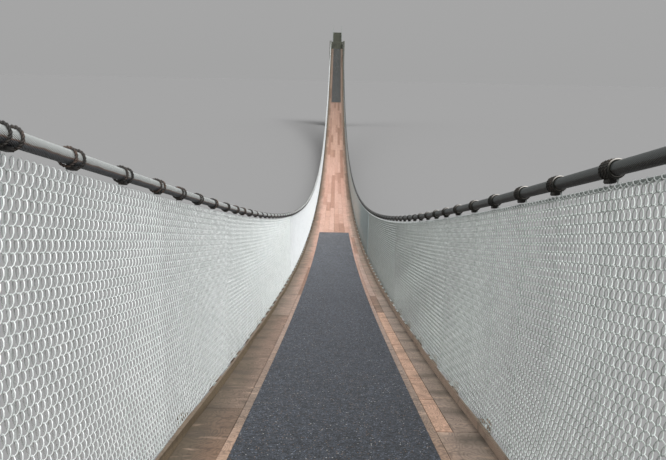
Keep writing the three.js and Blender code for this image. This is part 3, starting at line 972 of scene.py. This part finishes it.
def fixClamps():
    for (side, sideName), steel in zip(sides, (leftSteel, paintedShadeSteel)):
        masters = {"near": twistedRing(), "pale": plainRing("pale"), "far": plainRing("far")}
        spots = {"near": [], "far": [], "pale": []}
        blocks = {"near": [], "far": []}
        for bay in range(-span["lastHanger"], span["lastHanger"] + 1):
            y = hangerPlace(bay, sideName)
            tilt = slopeOf(cableAxis, y)
            reach = "near" if clamp["nearStart"] < y < clamp["nearEnd"] else "far"
            wraps = clamp["wraps" if reach == "near" else "farWraps"][sideName]
            for along in wraps:
                kind, lean = reach, math.radians(clamp["lean"]) * (1 if along > 0 else -1)
                if reach == "near" and side > 0 and along == wraps[0]:
                    kind, lean = "pale", math.radians(clamp["paleLean"])
                # stretched upwards as it leans, so that it still clears the cable
                spots[kind].append({
                    "scale": (1, 1, 1 / math.cos(lean)), "tilt": tilt + lean, "tone": dice.random(),
                    "shift": (side * cable["offset"], y + along * math.cos(tilt),
                              float(cableAxis(y)) + along * math.sin(tilt))})
            y += clamp["blockOn"][sideName]
            blocks[reach].append({
                "tilt": tilt, "tone": clamp["blockTones"] * dice.random(),
                "shift": (side * cable["offset"], y, float(cableAxis(y)) - clamp["blockDrop"][sideName])})
        for kind, places in spots.items():
            if places:
                piece = copyMany(masters[kind], "clamp_wraps_%s_%s" % (sideName, kind), places, smooth=True)
                finishPiece(piece, paintedLightRod if kind == "pale" else steel, "clamp_steel")
            if kind in blocks:
                piece = copyBlocks("clamp_saddles_%s_%s" % (sideName, kind), clamp["block"][sideName],
                                   blocks[kind], clamp["bevel"][kind])
                finishPiece(piece, steel, "clamp_steel")
            dropMaster(masters[kind])


fixClamps()
print("clamps fixed")

# Concrete end piers, cast in lifts with a groove between them, and the blocks that hold the cables
pier = {"half": 0.108, "long": 0.480, "top": 0.020, "lifts": 4, "footHalf": 0.140, "footReach": 0.035,
        "footHigh": 0.050, "chamfer": 0.0025, "anchorInner": 0.081, "anchorLong": 0.120, "anchorHigh": 0.112,
        "plate": (0.015, 0.0007, 0.015), "plateAt": -0.0005, "plateBevel": 0.0002, "socket": 0.0036,
        "socketLong": 0.016}
deckEnd = float(deckTop(span["half"]))


def raisePiers():
    top = deckEnd - pier["top"]
    liftHigh = (top - pier["footHigh"]) / pier["lifts"]
    anchorHigh = deckEnd + pier["anchorHigh"] - top
    anchorX, anchorY = (pier["half"] + pier["anchorInner"]) / 2, span["half"] + pier["anchorLong"] / 2
    centre, endY = span["half"] + pier["long"] / 2, span["half"] - cable["endGap"]
    lifts = [pier["footHigh"] + (lift + 0.5) * liftHigh for lift in range(pier["lifts"])]
    endZ = float(cableAxis(endY))
    # each kind of block: its size, and where the blocks at one end stand
    castings = {
        "pier_shaft_": ((2 * pier["half"], pier["long"], liftHigh),
                        [(0, centre, height) for height in lifts]),
        "pier_footing_": ((2 * pier["footHalf"], pier["long"] + 2 * pier["footReach"], pier["footHigh"]),
                          [(0, centre, pier["footHigh"] / 2)]),
        "anchor_blocks_": ((pier["half"] - pier["anchorInner"], pier["anchorLong"], anchorHigh),
                           [(side * anchorX, anchorY, top + anchorHigh / 2) for side, _ in sides])}
    plates = [(side * cable["offset"], span["half"] + pier["plateAt"], endZ) for side, _ in sides]
    for turned, endName in bridgeEnds:
        for name, (size, shifts) in castings.items():
            spots = [{"shift": shift, "turn": turned < 0} for shift in shifts]
            piece = copyBlocks(name + endName, size, spots, pier["chamfer"])
            finishPiece(piece, concrete, "concrete", "pier_" + endName)
        spots = [{"shift": shift, "turn": turned < 0} for shift in plates]
        piece = copyBlocks("anchor_plates_" + endName, pier["plate"], spots, pier["plateBevel"])
        finishPiece(piece, leftSteel, "clamp_steel")
        sockets = [[(side * turned * cable["offset"], turned * y, float(cableAxis(y)))
                    for y in (endY - pier["socketLong"], endY)] for side, _ in sides]
        piece = wires("cable_sockets_" + endName, sockets, pier["socket"], cable["faces"])
        finishPiece(piece, rodZinc, "clamp_steel")


raisePiers()
print("piers raised")

# Steps: a cast flight, wide below and narrow above, with timber treads and riser boards on it
steps = {"threshold": 0.050, "rise": 0.0178, "tread": 0.028, "count": 14, "lower": 6, "lowerHalf": 0.080,
         "upperHalf": 0.0655, "back": 0.472, "seat": 0.0003, "plank": 0.0022, "riser": 0.0015,
         "setBack": 0.0006, "gap": 0.0005, "thresholdPlanks": 4, "treadPlanks": 2, "landingPlanks": 4,
         "riserTones": 0.2, "close": 0.001}


def drawOut(piece, axis, past, shift):
    # extrudes the faces that look along an axis (1 is Y, 2 is Z) and lie past a place on Y
    nearlyStraight = 0.9
    pick(piece)
    editMode()
    objectMode()
    for face in piece.data.polygons:
        face.select = face.normal[axis] > nearlyStraight and face.center.y > past
    bpy.ops.object.mode_set(mode="EDIT")
    bpy.ops.mesh.extrude_region_move(TRANSFORM_OT_translate={"value": shift})
    objectMode()


def castFlight(first, last, half, start, firstRiser, back):
    # one closed block, drawn out tread by tread and raised riser by riser
    base = deckEnd - pier["top"] + steps["seat"]
    high = deckEnd + (first - 1) * steps["rise"] - steps["plank"]
    body = blockMaster((2 * half, firstRiser - start, high - base))
    body.location = (0, (firstRiser + start) / 2, (high + base) / 2)
    bpy.ops.object.transform_apply(location=True, rotation=False, scale=False)
    edge = firstRiser
    for step in range(first, last + 1):
        nextEdge = edge + steps["tread"] if step < last else back
        drawOut(body, 1, edge - steps["close"], (0, nextEdge - edge, 0))
        drawOut(body, 2, edge + steps["close"], (0, 0, steps["rise"]))
        edge = nextEdge
    return body


def layPlanks(spots, half, start, end, height, count):
    deep = (end - start) / count
    for index in range(count):
        spots.append({"scale": (2 * half, deep - steps["gap"], steps["plank"]), "tone": dice.random(),
                      "shift": (0, span["half"] + start + (index + 0.5) * deep, height - steps["plank"] / 2)})


def buildSteps():
    riser, back, threshold = steps["riser"], steps["back"], steps["threshold"]
    lowerBack = threshold + steps["lower"] * steps["tread"]
    lower = castFlight(1, steps["lower"], steps["lowerHalf"], steps["seat"], threshold + riser, lowerBack)
    upper = castFlight(steps["lower"] + 2, steps["count"], steps["upperHalf"], lowerBack + riser,
                       lowerBack + riser + steps["tread"], back)
    for turned, endName in bridgeEnds:
        for name, flight in (("lower_flight_", lower), ("upper_flight_", upper)):
            piece = copyMany(flight, name + endName, [{"shift": (0, span["half"], 0), "turn": turned < 0}])
            finishPiece(piece, concrete, "concrete", "steps_" + endName)
        treads, risers = [], []
        layPlanks(treads, steps["lowerHalf"], steps["seat"], threshold, deckEnd, steps["thresholdPlanks"])
        for step in range(1, steps["count"] + 1):
            front = threshold + (step - 1) * steps["tread"]
            half = steps["lowerHalf" if step <= steps["lower"] else "upperHalf"]
            height = deckEnd + step * steps["rise"]
            last = step == steps["count"]
            layPlanks(treads, half, front, back if last else front + steps["tread"], height,
                      steps["landingPlanks" if last else "treadPlanks"])
            high = steps["rise"] - steps["plank"]
            risers.append({"scale": (2 * half, riser - steps["setBack"], high),
                           "shift": (0, span["half"] + front + (riser + steps["setBack"]) / 2,
                                     height - steps["plank"] - high / 2),
                           "tone": steps["riserTones"] * dice.random()})
        for name, spots in (("step_treads_", treads), ("step_risers_", risers)):
            piece = copyBlocks(name + endName, (1, 1, 1), [{**spot, "turn": turned < 0} for spot in spots])
            finishPiece(piece, stepTimber, "step_timber", "steps_" + endName)
    dropMaster(lower)
    dropMaster(upper)


buildSteps()
print("steps built")

# Pipe rails on the upper steps, with a flange under each post and a sleeve at each joint
rail = {"offset": 0.060, "radius": 0.0024, "high": 0.095, "middle": 0.048, "posts": (6, 10, 14),
        "topRun": 0.060, "faces": 12, "flange": 0.0048, "flangeHigh": 0.0012, "sleeve": 0.0031,
        "sleeveHalf": 0.0045, "smoothUnder": 40}


def setRails():
    feet = [(steps["threshold"] + (step - 0.5) * steps["tread"], deckEnd + step * steps["rise"])
            for step in rail["posts"]]
    feet.append((feet[-1][0] + rail["topRun"], feet[-1][1]))
    # each upright piece of pipe, from one height over the step to another
    seat, high, middle, sleeve = steps["seat"], rail["high"], rail["middle"], rail["sleeveHalf"]
    uprights = {"pipes": [(seat, high)], "flanges": [(seat, seat + rail["flangeHigh"])],
                "sleeves": [(middle - sleeve, middle + sleeve), (high - 2 * sleeve, high)]}
    radii = {"pipes": rail["radius"], "flanges": rail["flange"], "sleeves": rail["sleeve"]}
    for turned, endName in bridgeEnds:
        for side, sideName in sides:
            for name, heights in uprights.items():
                lines = [[(y, z + up) for y, z in feet] for up in (high, middle)] if name == "pipes" else []
                lines += [[(y, z + low), (y, z + top)] for low, top in heights for y, z in feet]
                routes = [[(side * rail["offset"], turned * (span["half"] + y), z) for y, z in line]
                          for line in lines]
                piece = wires("rail_%s_%s_%s" % (name, endName, sideName), routes, radii[name], rail["faces"])
                pick(piece)
                bpy.ops.object.shade_smooth_by_angle(angle=math.radians(rail["smoothUnder"]))
                finishPiece(piece, pipeZinc, "galvanised_pipe", "rail_%s_%s" % (endName, sideName))


setRails()
print("rails set")

# Studio: pale paper floor, a soft dome that is brightest overhead, and two large soft lights from behind the
# camera, each with its strength, its spread and its turns about X and Y in degrees
studio = {"floor": "#848484", "floorSize": 160, "dome": [(0.0, 0.37), (0.1, 0.38), (0.5, 0.58), (1.0, 0.85)],
          "lamps": [("softbox", 3.4, 30.0, (35.5, 21.6)), ("fill", 0.9, 60.0, (25.0, -57.0))]}
startFresh()
bpy.ops.mesh.primitive_plane_add(size=studio["floorSize"])
floor = bpy.context.object
floor.name = "studio_floor"
paper = newMaterial("studio_paper", 0.0, 1.0)[0]
paperShader = paper.node_tree.nodes["Principled BSDF"]
paperShader.inputs["Base Color"].default_value = colour(studio["floor"])
paperShader.inputs["Specular IOR Level"].default_value = 0.0
floor.data.materials.append(paper)
world = bpy.data.worlds.new("studio")
bpy.context.scene.world = world
world.use_nodes = True
skyTree = world.node_tree
direction = addNode(skyTree, "TexCoord").outputs["Generated"]
skyHeight = addNode(skyTree, "SeparateXYZ", direction).outputs["Z"]
dome = addNode(skyTree, "ValToRGB", skyHeight, stops=studio["dome"])
skyTree.links.new(dome.outputs[0], skyTree.nodes["Background"].inputs[0])
for lampName, strength, spread, turns in studio["lamps"]:
    lamp = bpy.data.lights.new(lampName, "SUN")
    lamp.energy = strength
    lamp.angle = math.radians(spread)
    lampObject = bpy.data.objects.new(lampName, lamp)
    bpy.context.scene.collection.objects.link(lampObject)
    lampObject.rotation_euler = (math.radians(turns[0]), math.radians(turns[1]), 0)
bpy.context.scene.view_settings.view_transform = "Standard"
print("studio lit")
